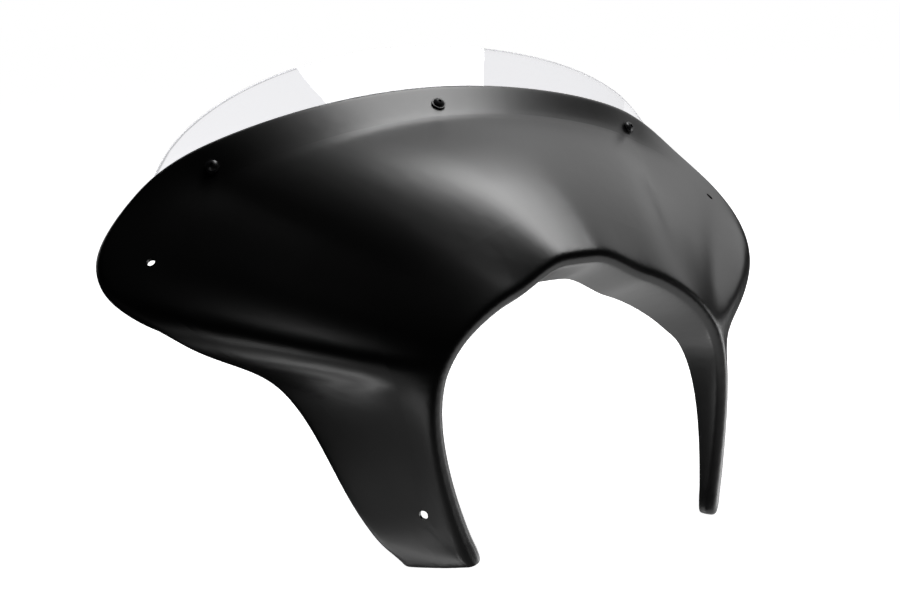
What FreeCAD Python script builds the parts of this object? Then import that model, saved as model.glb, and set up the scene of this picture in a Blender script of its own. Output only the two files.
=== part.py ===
# Small batwing fairing: one moulded shell round a headlamp arch, and a clear screen behind its top strip
# Millimetres. X runs across the bike, Y to the rear, Z up.
# The origin is on the headlamp axis, level with the widest part of the arch and at its front edge.
import FreeCAD, Part
import math
import os

Vector = FreeCAD.Vector

doc = FreeCAD.newDocument("batwing_fairing")

# Driving dimensions, one named cell each
sheet = doc.addObject("Spreadsheet::Sheet", "sizes")
SIZES = {
    # Headlamp arch, measured to the middle of its rounded front edge
    "arch_half_width": 127.0,
    "arch_rise": 90.0,
    "brow_rise": 10.0,
    "brow_flat_half": 14.0,
    "brow_half_width": 58.0,
    "leg_length": 112.0,
    "leg_draw_in": 20.0,
    "leg_sweep": 10.0,
    "arch_edge_radius": 8.0,
    # Return wall that runs back into the arch
    "return_draft_deg": 21.0,
    "return_depth_crown": 46.0,
    "return_depth_tip": 36.0,
    "return_depth_notch": 22.0,
    "return_depth_foot": 3.0,
    # Outer rim: an ellipse over the top, then the underside of the wing, the notch and the leg
    "wing_half_width": 297.0,
    "wing_tip_height": 86.0,
    "crown_height": 215.5,
    "crown_setback": 240.0,
    "shoulder_setback": 247.0,
    "wing_upper_half_width": 265.0,
    "wing_upper_height": 135.0,
    "wing_upper_setback": 260.0,
    "wing_tip_setback": 235.0,
    "underwing_half_width": 262.5,
    "underwing_height": 48.0,
    "underwing_setback": 161.0,
    "notch_half_width": 205.0,
    "notch_height": 19.0,
    "notch_setback": 130.0,
    "shin_half_width": 171.0,
    "shin_drop": 55.0,
    "shin_setback": 83.0,
    "foot_half_width": 139.0,
    "foot_drop": 117.5,
    "foot_setback": 45.0,
    # Rolled edge of the rim
    "rim_radius_crown": 6.0,
    "rim_radius_tip": 12.0,
    "rim_radius_leg": 8.0,
    "rim_turn_crown_deg": 50.0,
    "rim_turn_leg_deg": 90.0,
    "rim_flange_crown": 0.6,
    "rim_flange_leg": 5.0,
    # Crown of the face between the arch and the rim, as angles against the straight line
    "face_swell_front_deg": 8.0,
    "face_swell_rear_deg": 12.0,
    "wing_swell_deg": 1.0,
    "leg_swell_deg": 1.0,
    "fold_swell_deg": 6.5,
    # Strip that carries the screen
    "strip_width": 34.0,
    "strip_lift_deg": 17.0,
    "crease_blend": 12.0,
    # Foot of each leg
    "foot_edge_radius": 5.0,
    "foot_lip": 0.5,
    # Sheet the shell is moulded from
    "shell_wall": 3.0,
    # Fixing holes
    "fixing_hole_diameter": 7.0,
    "wing_hole_from_axis": 264.4,
    "wing_hole_height": 102.0,
    "leg_hole_from_axis": 135.0,
    "leg_hole_drop": 77.5,
    # Screen
    "screen_wall": 3.0,
    "screen_reveal": 50.0,
    "screen_tuck": 14.0,
    "screw_inset": 24.0,
    "side_screw_station": 0.318,
    "screen_end_station": 0.385,
    # Screws, washers and rubber well nuts
    "screw_diameter": 5.0,
    "screw_length": 20.0,
    "head_diameter": 9.5,
    "head_height": 2.8,
    "socket_width": 3.0,
    "socket_depth": 1.6,
    "washer_diameter": 12.0,
    "washer_thickness": 1.6,
    "grommet_flange_diameter": 14.0,
    "grommet_flange": 1.5,
    "grommet_diameter": 10.0,
    "grommet_length": 14.0,
    "insert_diameter": 7.0,
    "insert_length": 6.0,
    "head_edge": 0.6,
    "hole_clearance": 0.5,
    "thread_clearance": 0.1,
    "seat_clearance": 0.15,
    "drill_length": 40.0,
}
for row, (alias, value) in enumerate(SIZES.items(), start=1):
    sheet.set("A%d" % row, alias)
    sheet.set("B%d" % row, str(value))
    sheet.setAlias("B%d" % row, alias)
doc.recompute()


def size(alias):
    return float(sheet.get(alias))


def smooth_step(low, high, value):
    """Rises from 0 at low to 1 at high with flat ends."""
    share = min(max((value - low) / (high - low), 0.0), 1.0)
    return share * share * (3.0 - 2.0 * share)


def mirrored_curve(stations, points):
    """Smooth curve through points of one half and their mirror images, over stations -1 to 1."""
    left = [Vector(-p.x, p.y, p.z) for p in points[:0:-1]]
    marks = [-s for s in stations[:0:-1]] + list(stations)
    curve = Part.BSplineCurve()
    curve.interpolate(Points=left + list(points), Parameters=marks)
    return curve


def even_profile(stations, values):
    """Smooth number along the arch, the same on both sides."""
    points = [Vector(station, value, 0.0) for station, value in zip(stations, values)]
    curve = mirrored_curve(stations, points)
    return lambda station: curve.value(station).y


# Stations along the shell from the crown (0) down one side to the foot (1)
CROWN, SHOULDER, WING_UPPER, WING_TIP = 0.0, 0.28, 0.44, 0.52
UNDERWING, NOTCH, SHIN, FOOT = 0.61, 0.71, 0.86, 1.0
STATIONS = (CROWN, SHOULDER, WING_UPPER, WING_TIP, UNDERWING, NOTCH, SHIN, FOOT)
STRIP_FULL, STRIP_END = 0.33, 0.46
SWELL_FULL = 0.16
FOLD_START, FOLD, FOLD_END = 0.50, 0.58, 0.66
EDGE_TURN_START, EDGE_TURN_END = 0.42, 0.62
STATION_STEP = 0.004

# Where the stations cross the arch: angles from its top, then shares of the leg's length
ARCH_ANGLES_DEG = (0.0, 34.0, 56.0, 65.0, 75.0)
LEG_SHARES = (0.03, 0.51, 1.0)
SHOULDER_ANGLE_DEG = 40.0


def arch_angle_point(angle_deg):
    """Point of the elliptical upper arch, by its angle from the top."""
    angle = math.radians(angle_deg)
    across = size("arch_half_width") * math.sin(angle)
    return Vector(across, size("arch_edge_radius"), size("arch_rise") * math.cos(angle))


def arch_leg_point(share):
    """Point of the arch's straight part, by the share of the leg's length below the widest level."""
    across = size("arch_half_width") - size("leg_draw_in") * share * share
    setback = size("arch_edge_radius") - size("leg_sweep") * share * share
    return Vector(across, setback, -size("leg_length") * share)


arch_base = mirrored_curve(
    STATIONS,
    [arch_angle_point(angle) for angle in ARCH_ANGLES_DEG] + [arch_leg_point(share) for share in LEG_SHARES],
)


def arch_point(station):
    """Middle of the rounded front edge, with the brow raised over the lamp."""
    point = arch_base.value(station)
    brow = 1.0 - smooth_step(size("brow_flat_half"), size("brow_half_width"), abs(point.x))
    return point + Vector(0.0, 0.0, size("brow_rise") * brow)


def rim_ellipse_point(angle_deg, setback):
    """Point of the rim's upper ellipse, by its angle from the crown."""
    angle = math.radians(angle_deg)
    rise = size("crown_height") - size("wing_tip_height")
    across = size("wing_half_width") * math.sin(angle)
    return Vector(across, size(setback), size("wing_tip_height") + rise * math.cos(angle))


rim_curve = mirrored_curve(
    STATIONS,
    [
        rim_ellipse_point(0.0, "crown_setback"),
        rim_ellipse_point(SHOULDER_ANGLE_DEG, "shoulder_setback"),
        Vector(size("wing_upper_half_width"), size("wing_upper_setback"), size("wing_upper_height")),
        rim_ellipse_point(90.0, "wing_tip_setback"),
        Vector(size("underwing_half_width"), size("underwing_setback"), size("underwing_height")),
        Vector(size("notch_half_width"), size("notch_setback"), size("notch_height")),
        Vector(size("shin_half_width"), size("shin_setback"), -size("shin_drop")),
        Vector(size("foot_half_width"), size("foot_setback"), -size("foot_drop")),
    ],
)


def crown_to_leg(crown_size, leg_size):
    """Number that goes from its crown value to its leg value round the wing tip."""
    low, high = size(crown_size), size(leg_size)
    return lambda station: low + (high - low) * smooth_step(EDGE_TURN_START, EDGE_TURN_END, abs(station))


rim_turn = crown_to_leg("rim_turn_crown_deg", "rim_turn_leg_deg")
rim_flange = crown_to_leg("rim_flange_crown", "rim_flange_leg")
return_depth = even_profile(
    (CROWN, WING_TIP, NOTCH, FOOT),
    [size("return_depth_" + place) for place in ("crown", "tip", "notch", "foot")],
)


def rim_radius(station):
    """Radius of the rolled edge: one value over the strip, one round the wing tip and one on the leg."""
    crown, tip, leg = size("rim_radius_crown"), size("rim_radius_tip"), size("rim_radius_leg")
    to_tip = smooth_step(EDGE_TURN_START, WING_TIP, abs(station))
    to_leg = smooth_step(WING_TIP, NOTCH, abs(station))
    return crown + (tip - crown) * to_tip + (leg - tip) * to_leg


def face_swell(crown_size):
    """Crown of the face in degrees: over the lamp, on the wing and the leg, and along their fold."""
    top, wing, leg = size(crown_size), size("wing_swell_deg"), size("leg_swell_deg")

    def swell(station):
        to_wing = smooth_step(SWELL_FULL, WING_UPPER, abs(station))
        to_leg = smooth_step(WING_TIP, NOTCH, abs(station))
        to_fold = smooth_step(FOLD_START, FOLD, abs(station)) - smooth_step(FOLD, FOLD_END, abs(station))
        return top + (wing - top) * to_wing + (leg - wing) * to_leg + size("fold_swell_deg") * to_fold

    return swell


swell_front = face_swell("face_swell_front_deg")
swell_rear = face_swell("face_swell_rear_deg")


def strip_share(station):
    """1 where the screen strip is full, fading out past the side screws."""
    return 1.0 - smooth_step(STRIP_FULL, STRIP_END, abs(station))


def turned(first, second, angle):
    """Unit vector in the plane of two square unit vectors, turned from the first to the second."""
    return first * math.cos(angle) + second * math.sin(angle)


def section_frame(station):
    """Ends of a section, its direction, its normals at the arch and the middle, and the arch's."""
    front = arch_point(station)
    rim = rim_curve.value(station)
    further, nearer = station + STATION_STEP, station - STATION_STEP
    ahead = (arch_point(further) + rim_curve.value(further)) * 0.5
    behind = (arch_point(nearer) + rim_curve.value(nearer)) * 0.5
    along = (ahead - behind).normalize()
    outward = (rim - front).normalize()
    normal = along.cross(outward).normalize()
    run = arch_base.value(further) - arch_base.value(nearer)
    nose_normal = run.cross(outward).normalize()
    arch_normal = Vector(-run.z, 0.0, run.x).normalize()
    return front, rim, outward, nose_normal, normal, arch_normal


def hermite(start, start_run, end, end_run, share):
    """Point of the cubic with given ends and end directions."""
    s2, s3 = share * share, share ** 3
    near = start * (2 * s3 - 3 * s2 + 1) + start_run * (s3 - 2 * s2 + share)
    return near + end * (3 * s2 - 2 * s3) + end_run * (s3 - s2)


WALL_POINTS, NOSE_POINTS, FACE_POINTS, CREASE_POINTS, STRIP_POINTS, RIM_POINTS = 2, 5, 4, 2, 1, 4


def strip_seat(station):
    """Start of the rim's roll, with the direction and normal of the strip below it."""
    front, rim, outward, nose_normal, normal, arch_normal = section_frame(station)
    radius = rim_radius(station)
    lift = math.radians(size("strip_lift_deg")) * strip_share(station)
    fall = math.radians(swell_rear(station)) * (1.0 - strip_share(station))
    strip_run = turned(outward, normal, lift - fall)
    strip_normal = turned(normal, outward, fall - lift)
    centre = rim - strip_run * radius
    return centre, centre + strip_normal * radius, strip_run, strip_normal


def section(station, inset):
    """Poles of one section from the back of the return wall, round the arch and over the face to the rim."""
    front, rim, outward, nose_normal, normal, arch_normal = section_frame(station)
    nose_radius = size("arch_edge_radius") - inset
    draft = math.radians(size("return_draft_deg"))
    rearward = Vector(0.0, 1.0, 0.0)
    wall_run = turned(rearward, arch_normal * -1.0, draft)
    wall_normal = turned(arch_normal * -1.0, rearward * -1.0, draft)
    swell = math.radians(swell_front(station))
    face_run = turned(outward, nose_normal, swell)
    face_normal = turned(nose_normal, outward * -1.0, swell)

    poles = []
    wall_front = front + wall_normal * nose_radius
    for index in range(WALL_POINTS):
        share = 1.0 - index / WALL_POINTS
        poles.append(wall_front + wall_run * (return_depth(station) * share))
    sweep = face_normal.getAngle(wall_normal)
    square = (face_normal - wall_normal * face_normal.dot(wall_normal)).normalize()
    for index in range(NOSE_POINTS):
        angle = sweep * index / (NOSE_POINTS - 1)
        poles.append(front + turned(wall_normal, square, angle) * nose_radius)

    centre, _, strip_run, strip_normal = strip_seat(station)
    roll_radius = rim_radius(station) - inset
    roll_start = centre + strip_normal * roll_radius
    crease = roll_start - strip_run * size("strip_width")
    fall = math.radians(swell_rear(station))
    crease_run = turned(outward, normal * -1.0, fall)
    face_start = poles[-1]
    reach = (crease - face_start).Length
    blend = size("crease_blend")
    for index in range(1, FACE_POINTS + 1):
        share = index / FACE_POINTS * (1.0 - blend / reach)
        poles.append(hermite(face_start, face_run * reach, crease, crease_run * reach, share))
    last = poles[-1]
    after = crease + strip_run * blend
    for index in range(1, CREASE_POINTS + 1):
        share = index / CREASE_POINTS
        poles.append(last * (1 - share) ** 2 + crease * (2 * share * (1 - share)) + after * share ** 2)
    for index in range(1, STRIP_POINTS):
        poles.append(after + (roll_start - after) * (index / STRIP_POINTS))
    turn = math.radians(rim_turn(station))
    for index in range(RIM_POINTS):
        poles.append(centre + turned(strip_normal, strip_run, turn * index / (RIM_POINTS - 1)) * roll_radius)
    flange_run = turned(strip_run, strip_normal * -1.0, turn)
    poles.append(poles[-1] + flange_run * rim_flange(station))
    return poles


HALF_ROWS = 32
FOOT_ROWS = 2


def foot_rows(side, wall):
    """Sections that round the bottom of a leg under and end in its lip, at a depth below the outer skin."""
    toe = arch_point(side * FOOT) + rim_curve.value(side * FOOT)
    knee = arch_point(side * SHIN) + rim_curve.value(side * SHIN)
    down = (toe - knee).normalize()
    radius = size("foot_edge_radius")
    rows = []
    for index in range(1, FOOT_ROWS + 1):
        angle = 0.5 * math.pi * index / FOOT_ROWS
        drop = down * ((radius - wall) * math.sin(angle))
        inset = radius - (radius - wall) * math.cos(angle)
        rows.append([pole + drop for pole in section(side * FOOT, inset)])
    lip = radius + size("foot_lip")
    rows.append([pole + down * (radius - wall) for pole in section(side * FOOT, lip)])
    return rows


def skin_rows(wall):
    """All sections from the left lip to the right lip, at a depth below the outer skin."""
    rows = [section(index / HALF_ROWS, wall) for index in range(-HALF_ROWS, HALF_ROWS + 1)]
    return foot_rows(-1.0, wall)[::-1] + rows + foot_rows(1.0, wall)


DEGREE = 3


def mean_marks(lines):
    """Running length along a set of like lines of points, on average."""
    marks = [0.0]
    for near, far in zip(lines, lines[1:]):
        gaps = [(q - p).Length for p, q in zip(near, far)]
        marks.append(marks[-1] + sum(gaps) / len(gaps))
    return marks


def pole_knots(marks):
    """Knots and their multiplicities for poles spaced at the marks, clamped at both ends."""
    inner = [sum(marks[index:index + DEGREE]) / DEGREE for index in range(1, len(marks) - DEGREE)]
    return [marks[0]] + inner + [marks[-1]], [DEGREE + 1] + [1] * len(inner) + [DEGREE + 1]


def skin_surface(rows):
    """Smooth surface that passes through every section and is steered by the sections' poles."""
    marks = mean_marks(rows)
    columns = []
    for column in zip(*rows):
        curve = Part.BSplineCurve()
        curve.interpolate(Points=list(column), Parameters=marks)
        columns.append(curve.getPoles())
    column_knots, column_mults = pole_knots(mean_marks(columns))
    surface = Part.BSplineSurface()
    surface.buildFromPolesMultsKnots(
        [list(row) for row in zip(*columns)],
        curve.getMultiplicities(),
        column_mults,
        curve.getKnots(),
        column_knots,
        False,
        False,
        curve.Degree,
        DEGREE,
    )
    return surface


def iso_edges(surface, share, across):
    """Edge of a surface at one end: across the sections, or along them."""
    first_u, last_u, first_v, last_v = surface.bounds()
    if across:
        return surface.vIso(first_v + (last_v - first_v) * share).toShape()
    return surface.uIso(first_u + (last_u - first_u) * share).toShape()


def zones(surface, splits):
    """Parts of a surface between chosen knots of its sections."""
    first_u, last_u, first_v, last_v = surface.bounds()
    knots = surface.getVKnots()
    marks = [first_v] + [knots[index] for index in splits] + [last_v]
    parts = []
    for low, high in zip(marks, marks[1:]):
        part = surface.copy()
        part.segment(first_u, last_u, low, high)
        parts.append(part)
    return parts


def sheet_solid(front_surface, back_surface, splits=()):
    """Closes two matching surfaces into one solid with ruled edges, with its skins parted at the splits."""
    fronts, backs = zones(front_surface, splits), zones(back_surface, splits)
    faces = [part.toShape() for part in fronts + backs]
    ruled = [(fronts[0], backs[0], 0.0, True), (fronts[-1], backs[-1], 1.0, True)]
    for front, back in zip(fronts, backs):
        ruled += [(front, back, 0.0, False), (front, back, 1.0, False)]
    for front, back, share, across in ruled:
        faces.append(Part.makeRuledSurface(iso_edges(front, share, across), iso_edges(back, share, across)))
    shell = Part.makeShell(faces)
    shell.sewShape()
    solid = Part.makeSolid(shell)
    if solid.Volume < 0:
        solid.reverse()
    return solid


def feature(name, shape):
    """Document object that holds a shape made here."""
    made = doc.addObject("Part::Feature", name)
    made.Shape = shape
    made.Placement = FreeCAD.Placement()
    return made


outer_surface = skin_surface(skin_rows(0.0))
inner_surface = skin_surface(skin_rows(size("shell_wall")))
FACE_START = WALL_POINTS + NOSE_POINTS
shell_splits = (FACE_START - 1, FACE_START + FACE_POINTS - 1)
shell_blank = feature("shell_blank", sheet_solid(outer_surface, inner_surface, shell_splits))


def seat_at(point):
    """Placement on the outer skin nearest a point, with its local Z out of the shell."""
    u, v = outer_surface.parameter(point)
    foot = outer_surface.value(u, v)
    normal = outer_surface.normal(u, v)
    if normal.dot(foot - Vector(0.0, foot.y + size("crown_setback"), 0.0)) < 0.0:
        normal = normal * -1.0
    return FreeCAD.Placement(foot, FreeCAD.Rotation(Vector(0.0, 0.0, 1.0), normal))


def skin_point(across, height):
    """First point of the outer skin met from the front at a place in the front view."""
    probe = Part.makeLine(Vector(across, 0.0, height), Vector(across, size("crown_setback"), height))
    return probe.distToShape(outer_surface.toShape())[1][0][0]


# Places of the three screen screws and the four fixing holes
SIDES = {"left": -1.0, "centre": 0.0, "right": 1.0}


def screw_point(station):
    """Point of the strip in line with the screws."""
    centre, roll_start, strip_run, strip_normal = strip_seat(station)
    return roll_start - strip_run * (size("screw_inset") - rim_radius(station))


screw_seats = {
    place: seat_at(screw_point(side * size("side_screw_station"))) for place, side in SIDES.items()
}
wing_height, leg_height = size("wing_hole_height"), -size("leg_hole_drop")
fixing_seats = {
    "wing_left": seat_at(skin_point(-size("wing_hole_from_axis"), wing_height)),
    "wing_right": seat_at(skin_point(size("wing_hole_from_axis"), wing_height)),
    "leg_left": seat_at(skin_point(-size("leg_hole_from_axis"), leg_height)),
    "leg_right": seat_at(skin_point(size("leg_hole_from_axis"), leg_height)),
}


def cylinder(name, diameter, height, base="0"):
    """Cylinder on its own Z axis whose sizes follow the sheet."""
    made = doc.addObject("Part::Cylinder", name)
    made.setExpression("Radius", "(%s) / 2" % diameter)
    made.setExpression("Height", height)
    made.setExpression("Placement.Base.z", base)
    return made


def boolean(kind, name, base, tool):
    """Cut, fuse or common of two document objects."""
    made = doc.addObject("Part::" + kind, name)
    made.Base = base
    made.Tool = tool
    return made


def drills(name, diameter, seats):
    """Group of drills square to the skin, one at each seat."""
    tools = []
    for place, seat in seats.items():
        drill = doc.addObject("Part::Cylinder", "%s_%s" % (name, place))
        drill.setExpression("Radius", "(%s) / 2" % diameter)
        drill.setExpression("Height", "sizes.drill_length")
        half_way = Vector(0.0, 0.0, -size("drill_length") / 2)
        drill.Placement = seat.multiply(FreeCAD.Placement(half_way, FreeCAD.Rotation()))
        tools.append(drill)
    group = doc.addObject("Part::MultiFuse", name)
    group.Shapes = tools
    return group


# Shell: the moulded skin with its screw holes and fixing holes
screw_drills = drills("screw_drills", "sizes.screw_diameter + sizes.hole_clearance", screw_seats)
fixing_drills = drills("fixing_drills", "sizes.fixing_hole_diameter", fixing_seats)
drilled_shell = boolean("Cut", "shell_with_screw_holes", shell_blank, screw_drills)
fairing_shell = boolean("Cut", "fairing_shell", drilled_shell, fixing_drills)

# Screen: a bent clear sheet behind the strip, held off the shell by the flanges of the well nuts
screen_gap = size("shell_wall") + size("grommet_flange") + 2.0 * size("seat_clearance")
SCREEN_HALF_ROWS = 16
SCREEN_OVERRUN = 1.04


def screen_rows(depth):
    """Straight lines of the screen from its tucked lower edge to its free upper edge."""
    rows = []
    for index in range(-SCREEN_HALF_ROWS, SCREEN_HALF_ROWS + 1):
        share = SCREEN_OVERRUN * index / SCREEN_HALF_ROWS
        station = share * size("screen_end_station")
        centre, roll_start, strip_run, strip_normal = strip_seat(station)
        base = roll_start + strip_run * rim_radius(station) - strip_normal * depth
        top = size("screen_reveal") * (1.0 - share * share)
        low = -size("screw_inset") - size("screen_tuck")
        rows.append([base + strip_run * (low + (top - low) * step / DEGREE) for step in range(DEGREE + 1)])
    return rows


screen_blank = feature(
    "screen_blank",
    sheet_solid(
        skin_surface(screen_rows(screen_gap)),
        skin_surface(screen_rows(screen_gap + size("screen_wall"))),
    ),
)
grommet_drills = drills("grommet_drills", "sizes.grommet_diameter + sizes.hole_clearance", screw_seats)
windscreen = boolean("Cut", "windscreen", screen_blank, grommet_drills)


# Fasteners, modelled on their own axis: Z is 0 on the outer skin and points out
def screw(name):
    """Button-head screw with a hexagon socket."""
    seat = "sizes.washer_thickness + sizes.seat_clearance"
    shank = cylinder(name + "_shank", "sizes.screw_diameter - sizes.thread_clearance",
                     "sizes.screw_length + sizes.head_edge", seat + " - sizes.screw_length")
    disc = cylinder(name + "_disc", "sizes.head_diameter", "sizes.head_height", seat)
    dome = doc.addObject("Part::Sphere", name + "_dome")
    rise = "(sizes.head_height - sizes.head_edge)"
    reach = "(pow(sizes.head_diameter / 2; 2) + pow(%s; 2)) / (2 * %s)" % (rise, rise)
    dome.setExpression("Radius", reach)
    dome.setExpression("Placement.Base.z", "%s + sizes.head_height - %s" % (seat, reach))
    head = boolean("Common", name + "_head", disc, dome)
    socket = doc.addObject("Part::Prism", name + "_socket")
    socket.Polygon = 6
    socket.setExpression("Circumradius", "sizes.socket_width / 2 / cos(30 deg)")
    socket.setExpression("Height", "sizes.socket_depth * 2")
    socket.setExpression("Placement.Base.z", seat + " + sizes.head_height - sizes.socket_depth")
    return boolean("Cut", name, boolean("Fuse", name + "_solid", shank, head), socket)


def washer(name):
    """Flat plastic washer under the head."""
    ring = cylinder(name + "_ring", "sizes.washer_diameter", "sizes.washer_thickness", "sizes.seat_clearance")
    hole = cylinder(name + "_hole", "sizes.screw_diameter + sizes.hole_clearance", "sizes.drill_length")
    return boolean("Cut", name, ring, hole)


FLANGE_BACK = "-(sizes.shell_wall + sizes.seat_clearance + sizes.grommet_flange)"
GROMMET_END = FLANGE_BACK + " - sizes.grommet_length"


def grommet(name):
    """Rubber well nut: a flange between shell and screen, and a body that passes through the screen."""
    flange = cylinder(name + "_flange", "sizes.grommet_flange_diameter", "sizes.grommet_flange", FLANGE_BACK)
    body = cylinder(name + "_body", "sizes.grommet_diameter", "sizes.grommet_length + sizes.grommet_flange",
                    GROMMET_END)
    bore = cylinder(name + "_bore", "sizes.screw_diameter + sizes.hole_clearance", "sizes.drill_length",
                    "-sizes.drill_length")
    pocket = cylinder(name + "_pocket", "sizes.insert_diameter", "sizes.insert_length", GROMMET_END)
    hollow = boolean("Fuse", name + "_hollow", bore, pocket)
    return boolean("Cut", name, boolean("Fuse", name + "_solid", flange, body), hollow)


def insert(name):
    """Brass thread bonded into the far end of the well nut."""
    barrel = cylinder(name + "_barrel", "sizes.insert_diameter", "sizes.insert_length", GROMMET_END)
    thread = cylinder(name + "_thread", "sizes.screw_diameter", "sizes.drill_length", "-sizes.drill_length")
    return boolean("Cut", name, barrel, thread)


FASTENERS = {
    "screen_screw": screw,
    "screen_washer": washer,
    "screen_grommet": grommet,
    "screen_insert": insert,
}
nodes = [fairing_shell, windscreen]
for place, seat in screw_seats.items():
    for kind, build in FASTENERS.items():
        piece = build("%s_%s" % (kind, place))
        piece.Placement = seat
        nodes.append(piece)

# Check every object, then write one file for each piece
doc.recompute()
for item in doc.Objects:
    if "Invalid" in item.State or "Error" in item.State:
        raise RuntimeError("failed: %s %s" % (item.Label, item.State))
for node in nodes:
    if node.Shape.isNull() or not node.Shape.isValid():
        raise RuntimeError("bad shape: " + node.Label)
    if len(node.Shape.Solids) != 1:
        raise RuntimeError("not one solid: " + node.Label)
os.makedirs("parts", exist_ok=True)
for node in nodes:
    node.Shape.exportStep("parts/%s.step" % node.Label)

for place, seat in list(fixing_seats.items()) + list(screw_seats.items()):
    outward = seat.Rotation.multVec(Vector(0.0, 0.0, 1.0))
    print(place, [round(c, 3) for c in seat.Base], [round(c, 4) for c in outward])
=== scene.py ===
import math

import bpy
from bpy.props import FloatProperty, FloatVectorProperty, PointerProperty
from mathutils import Matrix, Vector


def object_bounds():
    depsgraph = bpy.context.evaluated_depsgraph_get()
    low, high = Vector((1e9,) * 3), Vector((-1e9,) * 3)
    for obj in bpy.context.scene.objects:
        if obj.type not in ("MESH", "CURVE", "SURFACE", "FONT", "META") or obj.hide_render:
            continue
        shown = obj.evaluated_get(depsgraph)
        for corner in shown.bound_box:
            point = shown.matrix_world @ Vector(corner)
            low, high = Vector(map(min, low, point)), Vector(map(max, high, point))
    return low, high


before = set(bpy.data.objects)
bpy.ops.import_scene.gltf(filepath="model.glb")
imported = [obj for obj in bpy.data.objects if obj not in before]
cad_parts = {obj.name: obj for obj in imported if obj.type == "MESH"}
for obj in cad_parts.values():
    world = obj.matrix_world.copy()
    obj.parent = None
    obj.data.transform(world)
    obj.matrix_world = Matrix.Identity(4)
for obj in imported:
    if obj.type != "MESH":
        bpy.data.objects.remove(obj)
CAD_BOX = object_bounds()

bl_info = {
    "name": "Batwing Fairing Finish",
    "version": (1, 0, 0),
    "blender": (4, 5, 0),
    "location": "View3D > Sidebar > Fairing",
    "description": "Gives a small motorbike fairing its finishes and a white studio",
    "category": "Material",
}

PLACES = ("left", "centre", "right")
MILLIMETRE = 0.001
# Steps across half of the screen at which its free edge is found
EDGE_STEPS = 16
# Share of the painted grey line along the screen's edge, which stands in for the refraction at its cut edge,
# that is at full strength
EDGE_SHADE_CORE = 0.6
# Size of the clouds in the shell's and the screen's finish
SHELL_CLOUD = 120 * MILLIMETRE
SCREEN_CLOUD = 60 * MILLIMETRE
# How far the roughness changes over the clouds and over the grain
SHELL_CLOUD_SHEEN = 0.08
SHELL_PEBBLE_SHEEN = 0.06
SCREEN_CLOUD_SHEEN = 0.02
FLOOR_SIZE = 40.0
# Width of the camera's sensor in millimetres
SENSOR_WIDTH = 36.0
# Fold between the left wing and its leg, which the left-hand lights aim at
LEFT_FOLD = (-0.2, 0.08, 0.04)
LEFT_LEG_TOP = (-0.18, 0.06, 0.02)


class Wire:
    """One output of a material's nodes, with the arithmetic that the finishes use."""

    def __init__(self, tree, socket=None):
        self.tree = tree
        self.socket = socket

    def node(self, kind, settings=None, sockets=None, output=0):
        """Adds a node, sets it up, feeds its sockets and returns one of its outputs."""
        made = self.tree.nodes.new(kind)
        for name, value in (settings or {}).items():
            setattr(made, name, value)
        for name, value in (sockets or {}).items():
            if isinstance(value, Wire):
                self.tree.links.new(value.socket, made.inputs[name])
            else:
                made.inputs[name].default_value = value
        return Wire(self.tree, made.outputs[output] if made.outputs else None)

    def maths(self, operation, first, second=0.0):
        """Adds a Math node."""
        return self.node("ShaderNodeMath", {"operation": operation}, {0: first, 1: second})

    def vectors(self, operation, sockets, output="Vector"):
        """Adds a Vector Math node."""
        return self.node("ShaderNodeVectorMath", {"operation": operation}, sockets, output)

    def __add__(self, other):
        return self.maths("ADD", self, other)

    def __radd__(self, other):
        return self.maths("ADD", other, self)

    def __sub__(self, other):
        return self.maths("SUBTRACT", self, other)

    def __rsub__(self, other):
        return self.maths("SUBTRACT", other, self)

    def __mul__(self, other):
        return self.maths("MULTIPLY", self, other)

    def __rmul__(self, other):
        return self.maths("MULTIPLY", other, self)


def new_finish(name):
    """Empty material and the wire that its nodes grow from."""
    material = bpy.data.materials.new(name)
    material.use_nodes = True
    material.node_tree.nodes.clear()
    return material, Wire(material.node_tree)


def close_finish(wire, sockets):
    """Ends a material in one Principled shader with the given sockets."""
    shader = wire.node("ShaderNodeBsdfPrincipled", None, sockets)
    wire.node("ShaderNodeOutputMaterial", None, {"Surface": shader})


def grain(wire, size, detail=2.0):
    """Noise over the object, with blotches of about the given size in metres."""
    place = wire.node("ShaderNodeTexCoord", output="Object")
    return wire.node("ShaderNodeTexNoise", None, {"Vector": place, "Scale": 1.0 / size, "Detail": detail})


def screen_edge():
    """Points along the right half of the screen's free edge: the top of the sheet at each step across."""
    corners = [corner.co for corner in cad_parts["windscreen"].data.vertices]
    step = max(corner.x for corner in corners) / EDGE_STEPS
    line = []
    for index in range(EDGE_STEPS + 1):
        near = [corner for corner in corners if abs(corner.x - index * step) < 0.5 * step]
        line.append(max(near, key=lambda corner: corner.z).copy())
    return [Vector((-line[0].x, line[0].y, line[0].z))] + line


def line_distance(wire, line):
    """Distance to a line of points, alike on both sides of the part."""
    place = wire.node("ShaderNodeTexCoord", output="Object")
    split = wire.node("ShaderNodeSeparateXYZ", None, {"Vector": place})
    across, back, height = (Wire(wire.tree, socket) for socket in split.socket.node.outputs)
    right = wire.maths("ABSOLUTE", across)
    side = wire.node("ShaderNodeCombineXYZ", None, {"X": right, "Y": back, "Z": height})
    nearest = None
    for start, end in zip(line, line[1:]):
        run = end - start
        offset = wire.vectors("SUBTRACT", {0: side, 1: start})
        along = wire.vectors("DOT_PRODUCT", {0: offset, 1: run / run.length_squared}, "Value")
        share = wire.node("ShaderNodeClamp", None, {"Value": along})
        foot = wire.vectors("SCALE", {0: run, "Scale": share})
        gap = wire.vectors("DISTANCE", {0: offset, 1: foot}, "Value")
        nearest = gap if nearest is None else wire.maths("MINIMUM", nearest, gap)
    return nearest


def tint(wire, mask, low, high):
    """Colour that goes from low to high with the mask."""
    return wire.node(
        "ShaderNodeMix",
        {"data_type": "RGBA"},
        {"Factor": mask, "A": (*low, 1.0), "B": (*high, 1.0)},
        output="Result",
    )


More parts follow.
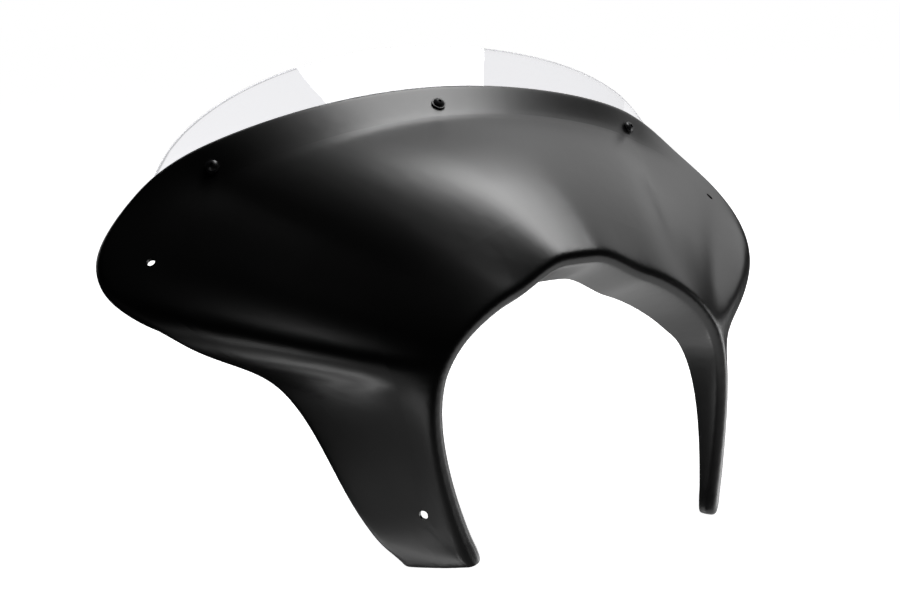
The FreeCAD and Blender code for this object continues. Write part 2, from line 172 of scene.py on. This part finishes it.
def speckled_finish(name, size, colour, spread, sheen, sheen_change, metallic=0.0, depth=0.0):
    """Finish with a fine speckle in its colour, its sheen and, where it has a depth, its relief."""
    material, wire = new_finish(name)
    speckle = grain(wire, size)
    sockets = {
        "Base Color": tint(wire, speckle, colour, [spread * channel for channel in colour]),
        "Roughness": sheen + speckle * sheen_change,
        "Metallic": metallic,
    }
    if depth:
        relief = {"Height": speckle, "Strength": 0.2, "Distance": depth}
        sockets["Normal"] = wire.node("ShaderNodeBump", None, relief)
    close_finish(wire, sockets)
    return material


def paint(node, material):
    """Puts a material on a carried-over node."""
    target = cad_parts[node]
    if not target.material_slots:
        target.data.materials.append(material)
    for slot in target.material_slots:
        slot.material = material


class ShellFinish(bpy.types.PropertyGroup):
    """Moulded black plastic of the shell"""

    colour: FloatVectorProperty(
        name="Colour", description="Body colour of the plastic", subtype="COLOR",
        default=(0.0012, 0.0012, 0.0013), min=0.0, max=1.0,
    )
    bloom: FloatVectorProperty(
        name="Bloom", description="Slightly greyer colour in the cloudy parts", subtype="COLOR",
        default=(0.0026, 0.0026, 0.0028), min=0.0, max=1.0,
    )
    roughness: FloatProperty(
        name="Roughness", description="Sheen of the grained skin", default=0.34, min=0.0, max=1.0,
    )
    pebble: FloatProperty(
        name="Pebble", description="Size of the moulded grain", default=0.45 * MILLIMETRE, unit="LENGTH",
    )
    pebble_depth: FloatProperty(
        name="Pebble depth", description="Depth of the moulded grain", unit="LENGTH",
        default=0.012 * MILLIMETRE,
    )


class ScreenFinish(bpy.types.PropertyGroup):
    """Clear sheet of the screen"""

    colour: FloatVectorProperty(
        name="Colour", description="Faint tint of the clear sheet", subtype="COLOR",
        default=(0.90, 0.90, 0.92), min=0.0, max=1.0,
    )
    # Painted shade: grey painted into the sheet's colour in a band along its free edge, in place of the
    # refraction at the cut edge
    painted_edge_shade_colour: FloatVectorProperty(
        name="Edge", description="Greyer look of the sheet's cut edge", subtype="COLOR",
        default=(0.32, 0.32, 0.33), min=0.0, max=1.0,
    )
    edge: FloatProperty(
        name="Edge width", description="Width of the edge's grey line", unit="LENGTH",
        default=2.2 * MILLIMETRE,
    )
    bend: FloatProperty(
        name="Light bending", description="Index of refraction", default=1.49, min=1.0, max=2.0,
    )


class FastenerFinish(bpy.types.PropertyGroup):
    """Screws, washers and well nuts"""

    screw_colour: FloatVectorProperty(
        name="Screw", description="Black coating of the screws", subtype="COLOR",
        default=(0.012, 0.012, 0.013), min=0.0, max=1.0,
    )
    washer_colour: FloatVectorProperty(
        name="Washer", description="Black plastic of the washers", subtype="COLOR",
        default=(0.006, 0.006, 0.0065), min=0.0, max=1.0,
    )
    rubber_colour: FloatVectorProperty(
        name="Rubber", description="Rubber of the well nuts", subtype="COLOR",
        default=(0.014, 0.0135, 0.013), min=0.0, max=1.0,
    )
    brass_colour: FloatVectorProperty(
        name="Brass", description="Thread inserts", subtype="COLOR",
        default=(0.62, 0.43, 0.16), min=0.0, max=1.0,
    )


class StudioSettings(bpy.types.PropertyGroup):
    """White studio round the part"""

    camera_place: FloatVectorProperty(
        name="Camera", description="Where the camera stands", subtype="XYZ", unit="LENGTH",
        default=(-0.7012, -1.1174, 0.3086),
    )
    camera_heading: FloatProperty(
        name="Heading", description="Turn of the view from straight rearwards", subtype="ANGLE",
        default=math.radians(-27.79),
    )
    camera_tilt: FloatProperty(
        name="Tilt", description="Tilt of the view from level", subtype="ANGLE", default=math.radians(-10.2),
    )
    camera_roll: FloatProperty(
        name="Roll", description="Roll of the view", subtype="ANGLE", default=math.radians(-2.56),
    )
    camera_lens: FloatProperty(
        name="Lens", description="Focal length in millimetres on a 36 mm sensor", default=72.0, min=10.0,
    )
    floor_colour: FloatVectorProperty(
        name="Floor", description="Colour of the floor", subtype="COLOR",
        default=(0.9, 0.9, 0.9), min=0.0, max=1.0,
    )
    floor_glow: FloatProperty(
        name="Floor glow", description="Glow of the floor and the background", default=1.0, min=0.0, max=1.0,
    )
    key_radiance: FloatProperty(
        name="Key", description="Brightness of the overhead softbox", default=7.8, min=0.0,
    )


class FAIRING_OT_dress_shell(bpy.types.Operator):
    """Give the shell its grained black plastic"""

    bl_idname = "fairing.dress_shell"
    bl_label = "Dress Shell"

    def execute(self, context):
        finish = context.scene.fairing_shell_finish
        material, wire = new_finish("grained_black_plastic")
        cloud = grain(wire, SHELL_CLOUD, detail=3.0)
        pebble = grain(wire, finish.pebble, detail=1.0)
        relief = {"Height": pebble, "Strength": 0.35, "Distance": finish.pebble_depth}
        clouded = finish.roughness + (cloud - 0.5) * SHELL_CLOUD_SHEEN
        close_finish(wire, {
            "Base Color": tint(wire, cloud, finish.colour, finish.bloom),
            "Roughness": clouded + (pebble - 0.5) * SHELL_PEBBLE_SHEEN,
            "Normal": wire.node("ShaderNodeBump", None, relief),
        })
        paint("fairing_shell", material)
        return {"FINISHED"}


class FAIRING_OT_dress_screen(bpy.types.Operator):
    """Give the screen its clear sheet"""

    bl_idname = "fairing.dress_screen"
    bl_label = "Dress Screen"

    def execute(self, context):
        finish = context.scene.fairing_screen_finish
        material, wire = new_finish("clear_sheet")
        haze = grain(wire, SCREEN_CLOUD)
        fade = {
            "Value": line_distance(wire, screen_edge()),
            "From Min": EDGE_SHADE_CORE * finish.edge,
            "From Max": finish.edge,
            "To Min": 1.0,
            "To Max": 0.0,
        }
        # Mask of the painted shade along the free edge, which stands in for the refraction at the sheet's
        # cut edge
        line = wire.node("ShaderNodeMapRange", None, fade)
        close_finish(wire, {
            "Base Color": tint(wire, line, finish.colour, finish.painted_edge_shade_colour),
            "Roughness": haze * SCREEN_CLOUD_SHEEN,
            "IOR": finish.bend,
            "Transmission Weight": 1.0,
        })
        paint("windscreen", material)
        return {"FINISHED"}


class FAIRING_OT_dress_fasteners(bpy.types.Operator):
    """Give the screws, washers and well nuts their finishes"""

    bl_idname = "fairing.dress_fasteners"
    bl_label = "Dress Fasteners"

    def execute(self, context):
        finish = context.scene.fairing_fastener_finish
        coating = speckled_finish(
            "black_coated_steel", size=0.6 * MILLIMETRE, colour=finish.screw_colour, spread=2.0,
            sheen=0.26, sheen_change=0.16, metallic=0.35, depth=0.02 * MILLIMETRE,
        )
        nylon = speckled_finish(
            "black_washer_plastic", size=0.8 * MILLIMETRE, colour=finish.washer_colour, spread=1.8,
            sheen=0.36, sheen_change=0.2,
        )
        rubber = speckled_finish(
            "well_nut_rubber", size=1.2 * MILLIMETRE, colour=finish.rubber_colour, spread=1.9,
            sheen=0.62, sheen_change=0.2,
        )
        brass = speckled_finish(
            "turned_brass", size=0.5 * MILLIMETRE, colour=finish.brass_colour, spread=0.7,
            sheen=0.22, sheen_change=0.2, metallic=1.0,
        )
        for place in PLACES:
            paint("screen_screw_" + place, coating)
            paint("screen_washer_" + place, nylon)
            paint("screen_grommet_" + place, rubber)
            paint("screen_insert_" + place, brass)
        return {"FINISHED"}


def softbox(name, place, aim, width, length, radiance):
    """Rectangular light that faces a point, with its long side towards the rear, unseen by the camera."""
    forward = (Vector(aim) - Vector(place)).normalized()
    across = forward.cross(Vector((0.0, 1.0, 0.0)))
    if across.length < 0.5:
        across = forward.cross(Vector((0.0, 0.0, 1.0)))
    across.normalize()
    along = across.cross(forward).normalized()
    turn = Matrix((across, along, -forward)).transposed()
    bpy.ops.object.light_add(type="AREA", location=place, rotation=turn.to_euler())
    light = bpy.context.object
    light.name = name
    light.visible_camera = False
    light.visible_transmission = False
    light.data.shape = "RECTANGLE"
    light.data.size = width
    light.data.size_y = length
    light.data.energy = radiance * math.pi * width * length


class FAIRING_OT_set_stage(bpy.types.Operator):
    """Add the floor, the lights and the camera"""

    bl_idname = "fairing.set_stage"
    bl_label = "Set Stage"

    def execute(self, context):
        studio = context.scene.fairing_studio
        bpy.ops.object.select_all(action="DESELECT")
        low, high = CAD_BOX
        middle = (low + high) / 2

        bpy.ops.mesh.primitive_plane_add(size=FLOOR_SIZE, location=(middle.x, middle.y, low.z - MILLIMETRE))
        floor = context.object
        floor.name = "floor"
        material, wire = new_finish("pale_floor")
        close_finish(wire, {
            "Base Color": (*studio.floor_colour, 1.0),
            "Roughness": 0.9,
            "Specular IOR Level": 0.0,
            "Emission Color": (1.0, 1.0, 1.0, 1.0),
            "Emission Strength": studio.floor_glow,
        })
        floor.data.materials.append(material)
        # The shell mirrors the lights alone, as in a dark studio, and the floor's lights shine up through it
        floor.visible_glossy = False
        floor.visible_diffuse = False
        floor.visible_shadow = False

        world = context.scene.world or bpy.data.worlds.new("studio")
        context.scene.world = world
        world.use_nodes = True
        background = world.node_tree.nodes["Background"]
        background.inputs["Color"].default_value = (1.0, 1.0, 1.0, 1.0)
        background.inputs["Strength"].default_value = studio.floor_glow
        world.cycles_visibility.glossy = False
        world.cycles_visibility.diffuse = False

        softbox(
            "overhead_softbox", place=(0.53, 0.37, 1.38), aim=(0.53, 0.37, 0.0),
            width=0.62, length=1.15, radiance=studio.key_radiance,
        )
        softbox("rear_panel", place=(0.2, 2.6, 0.45), aim=middle, width=2.4, length=1.0, radiance=0.5)
        softbox("right_panel", place=(1.7, 1.2, 1.1), aim=middle, width=1.5, length=1.5, radiance=0.85)
        softbox("right_low_panel", place=(1.6, -0.1, -0.25), aim=middle, width=0.8, length=0.8, radiance=4.0)
        softbox(
            "left_panel", place=(-2.27, -0.243, -2.12), aim=LEFT_FOLD,
            width=0.72, length=0.72, radiance=6.5,
        )
        softbox(
            "left_rear_panel", place=(-0.295, 0.114, -0.252), aim=LEFT_LEG_TOP,
            width=0.09, length=0.09, radiance=2.6,
        )
        softbox(
            "left_low_panel", place=(-1.36, -0.26, -0.12), aim=LEFT_FOLD,
            width=0.35, length=0.35, radiance=2.6,
        )
        floor_light = low.z - 0.5 * MILLIMETRE
        softbox(
            "floor_left", place=(-0.75, -0.1, floor_light), aim=(-0.75, -0.1, 1.0),
            width=1.4, length=0.5, radiance=0.2,
        )
        softbox(
            "floor_under_arch", place=(0.2, -0.1, floor_light), aim=(0.2, -0.1, 1.0),
            width=0.6, length=0.8, radiance=1.3,
        )

        turn = (
            Matrix.Rotation(studio.camera_heading, 3, "Z")
            @ Matrix.Rotation(math.pi / 2 + studio.camera_tilt, 3, "X")
            @ Matrix.Rotation(studio.camera_roll, 3, "Z")
        )
        bpy.ops.object.camera_add(location=studio.camera_place, rotation=turn.to_euler())
        camera = context.object
        camera.data.sensor_width = SENSOR_WIDTH
        camera.data.lens = studio.camera_lens
        context.scene.camera = camera
        context.scene.view_settings.view_transform = "Standard"
        return {"FINISHED"}


class FAIRING_PT_panel(bpy.types.Panel):
    """Steps that finish the fairing"""

    bl_label = "Batwing Fairing"
    bl_idname = "FAIRING_PT_panel"
    bl_space_type = "VIEW_3D"
    bl_region_type = "UI"
    bl_category = "Fairing"

    def draw(self, context):
        column = self.layout.column()
        for step in STEPS:
            column.operator(step.bl_idname)
        scene = context.scene
        for settings in (scene.fairing_shell_finish, scene.fairing_screen_finish,
                         scene.fairing_fastener_finish, scene.fairing_studio):
            for name in settings.__annotations__:
                column.prop(settings, name)


STEPS = (
    FAIRING_OT_dress_shell,
    FAIRING_OT_dress_screen,
    FAIRING_OT_dress_fasteners,
    FAIRING_OT_set_stage,
)
GROUPS = {
    "fairing_shell_finish": ShellFinish,
    "fairing_screen_finish": ScreenFinish,
    "fairing_fastener_finish": FastenerFinish,
    "fairing_studio": StudioSettings,
}


def register():
    for group in GROUPS.values():
        bpy.utils.register_class(group)
    for name, group in GROUPS.items():
        setattr(bpy.types.Scene, name, PointerProperty(type=group))
    for step in STEPS:
        bpy.utils.register_class(step)
    bpy.utils.register_class(FAIRING_PT_panel)


def unregister():
    bpy.utils.unregister_class(FAIRING_PT_panel)
    for step in reversed(STEPS):
        bpy.utils.unregister_class(step)
    for name in GROUPS:
        delattr(bpy.types.Scene, name)
    for group in reversed(list(GROUPS.values())):
        bpy.utils.unregister_class(group)


def main():
    register()
    bpy.ops.fairing.dress_shell()
    bpy.ops.fairing.dress_screen()
    bpy.ops.fairing.dress_fasteners()
    bpy.ops.fairing.set_stage()


if __name__ == "__main__":
    main()
